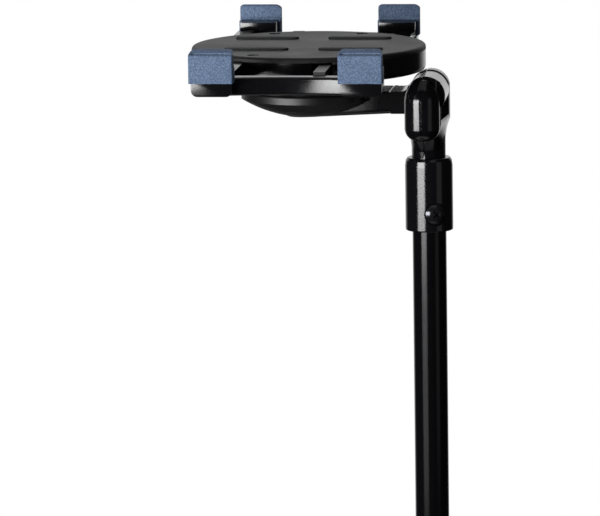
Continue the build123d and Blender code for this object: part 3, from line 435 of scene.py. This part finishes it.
def make_blue_elastomer():
    """Slate blue elastomer, sanded in the mould. Its painted glints are drawn 0.4 mm wide to show."""
    material, shader, place = new_material("slate_blue_elastomer")
    sand = add(material, "ShaderNodeTexNoise", {"Scale": 1 / sand_width, "Detail": 2.0, "Roughness": 0.75},
               {"Vector": place}).outputs["Fac"]
    bloom = add(material, "ShaderNodeTexNoise", {"Scale": 1 / bloom_width, "Detail": 2.0, "Roughness": 0.6},
                {"Vector": place}).outputs["Fac"]
    # Painted glints: the crests of the sand get a lighter blue, which stands in for the glitter of light.
    painted_glint_specks = add(material, "ShaderNodeMapRange", {"From Min": 0.43, "From Max": 0.60},
                  {"Value": sand}).outputs["Result"]
    colour = add(material, "ShaderNodeMix", {"data_type": "RGBA", first_colour: linear("#465874"),
                                             second_colour: linear("#7187a6")}, {mix_share: painted_glint_specks})
    roughness = add(material, "ShaderNodeMapRange", {**noise_middle, "To Min": 0.58, "To Max": 0.68},
                    {"Value": bloom})
    relief = add(material, "ShaderNodeBump", {"Strength": 0.8, "Distance": sand_depth}, {"Height": sand})
    set_up(material, shader, {"IOR": 1.4},
           {"Base Color": colour.outputs[mixed_colour], "Roughness": roughness.outputs["Result"],
            "Normal": relief.outputs["Normal"]})
    return material


sleeves = ("front_left_pad", "front_right_pad", "rear_left_pad", "rear_right_pad")
dress(make_blue_elastomer(), *sleeves)
for name in sleeves:
    soften(name, sleeve_edge, limit=20)

# The studio: a pale floor and a white surround for the camera. What the gloss reflects is darker in front and
# white behind and to the left, where the backdrop stands. A tall soft box front left makes the long highlights.
camera_place = Vector((200.0, -2284.0, 1379.6)) * mm
camera_yaw = radians(6.533)
camera_pitch = radians(9.228)
camera_roll = radians(-0.83)
focal_pixels = 4927.0
frame_width = 600

camera_data = bpy.data.cameras.new("camera")
camera = bpy.data.objects.new("camera", camera_data)
bpy.context.collection.objects.link(camera)
camera_data.sensor_width = 36.0
camera_data.sensor_fit = "HORIZONTAL"
camera_data.lens = camera_data.sensor_width * focal_pixels / frame_width
camera_data.clip_start = 0.05
camera_data.clip_end = 60.0
camera_turn = Matrix.Rotation(camera_yaw, 4, "Z") @ Matrix.Rotation(pi / 2 - camera_pitch, 4, "X")
camera_turn = camera_turn @ Matrix.Rotation(camera_roll, 4, "Z")
camera.matrix_world = Matrix.Translation(camera_place) @ camera_turn
bpy.context.scene.camera = camera

backdrop_turn = radians(-170)
backdrop_rise = radians(20)
backdrop_side = (sin(backdrop_turn) * cos(backdrop_rise), -cos(backdrop_turn) * cos(backdrop_rise),
                 sin(backdrop_rise))
white = (1, 1, 1, 1)


def backdrop(holder, direction):
    """The light that the surround sends to the part: bright from the backdrop's side, dark from the others."""
    unit = add(holder, "ShaderNodeVectorMath", {"operation": "NORMALIZE"}, {0: direction}).outputs["Vector"]
    facing = add(holder, "ShaderNodeVectorMath", {"operation": "DOT_PRODUCT", 1: backdrop_side},
                 {0: unit}).outputs["Value"]
    return add(holder, "ShaderNodeMapRange", {"From Min": 0.67, "From Max": 0.88, "To Min": 0.02, "To Max": 0.9},
               {"Value": facing}).outputs["Result"]


bpy.ops.object.select_all(action="DESELECT")
bpy.ops.mesh.primitive_circle_add(vertices=96, radius=14.0, fill_type="NGON", location=(0, 0, 0))
floor = bpy.context.object
floor.name = "studio_floor"
paint, shader, position = new_material("studio_floor_paint")
reach = add(paint, "ShaderNodeVectorMath", {"operation": "LENGTH"}, {0: position}).outputs["Value"]
far = add(paint, "ShaderNodeMapRange", {"From Min": 0.3, "From Max": 0.6}, {"Value": reach}).outputs["Result"]
camera_ray = add(paint, "ShaderNodeLightPath", {}, {}).outputs["Is Camera Ray"]
lift = add(paint, "ShaderNodeMapRange", {"To Max": 0.35}, {"Value": camera_ray}).outputs["Result"]
set_up(paint, shader, {"Base Color": linear("#f2f2f2"), "Roughness": 0.6, "Emission Color": white},
       {"Emission Strength": lift})
sent = backdrop(paint, position)
lit = add(paint, "ShaderNodeMapRange", {"From Min": 2.0, "From Max": 4.5, "To Min": 0.03, "To Max": 1},
          {"Value": reach}).outputs["Result"]
sent = add(paint, "ShaderNodeMath", {"operation": "MULTIPLY"}, {0: sent, 1: lit}).outputs["Value"]
strength = add(paint, "ShaderNodeMix", {second_number: 1.0}, {mix_share: camera_ray, first_number: sent})
glow = add(paint, "ShaderNodeEmission", {"Color": white}, {"Strength": strength.outputs[mixed_number]})
blend = add(paint, "ShaderNodeMixShader", {}, {0: far, 1: shader.outputs["BSDF"], 2: glow.outputs["Emission"]})
set_up(paint, paint.node_tree.nodes["Material Output"], {}, {"Surface": blend.outputs["Shader"]})
floor.data.materials.append(paint)

world = bpy.data.worlds.new("studio")
bpy.context.scene.world = world
world.use_nodes = True
direction = add(world, "ShaderNodeTexCoord", {}, {}).outputs["Generated"]
camera_ray = add(world, "ShaderNodeLightPath", {}, {}).outputs["Is Camera Ray"]
strength = add(world, "ShaderNodeMix", {second_number: 1.0},
               {mix_share: camera_ray, first_number: backdrop(world, direction)})
set_up(world, world.node_tree.nodes["Background"], {"Color": white}, {"Strength": strength.outputs[mixed_number]})


def soft_box(name, azimuth, low, high, distance, width, radiance, tip=0.0):
    """A soft box standing round the head of the stand. Azimuth 0 is the front, 90 the right."""
    data = bpy.data.lights.new(name, "AREA")
    data.shape = "RECTANGLE"
    data.size = width
    data.size_y = high - low
    data.energy = radiance * width * (high - low) * pi
    lamp = bpy.data.objects.new(name, data)
    bpy.context.collection.objects.link(lamp)
    turn = Matrix.Rotation(radians(azimuth), 4, "Z") @ Matrix.Rotation(radians(90 + tip), 4, "X")
    place = Vector((distance * sin(radians(azimuth)), -distance * cos(radians(azimuth)), (low + high) / 2))
    lamp.matrix_world = Matrix.Translation(place) @ turn


for name, low, high, radiance in (("left_box", 0.95, 1.50, 14), ("left_box_foot", 0.72, 0.95, 12),
                                  ("left_box_skirt", 0.50, 0.72, 1.5)):
    soft_box(name, azimuth=-34, low=low, high=high, distance=1.8, width=1.15, radiance=radiance)
soft_box("right_strip", azimuth=55, low=0.5, high=1.5, distance=2.0, width=0.9, radiance=0.25)
soft_box("overhead", azimuth=0, low=2.0, high=4.4, distance=0.4, width=2.6, radiance=0.3, tip=-80)

bpy.context.scene.view_settings.view_transform = "Standard"
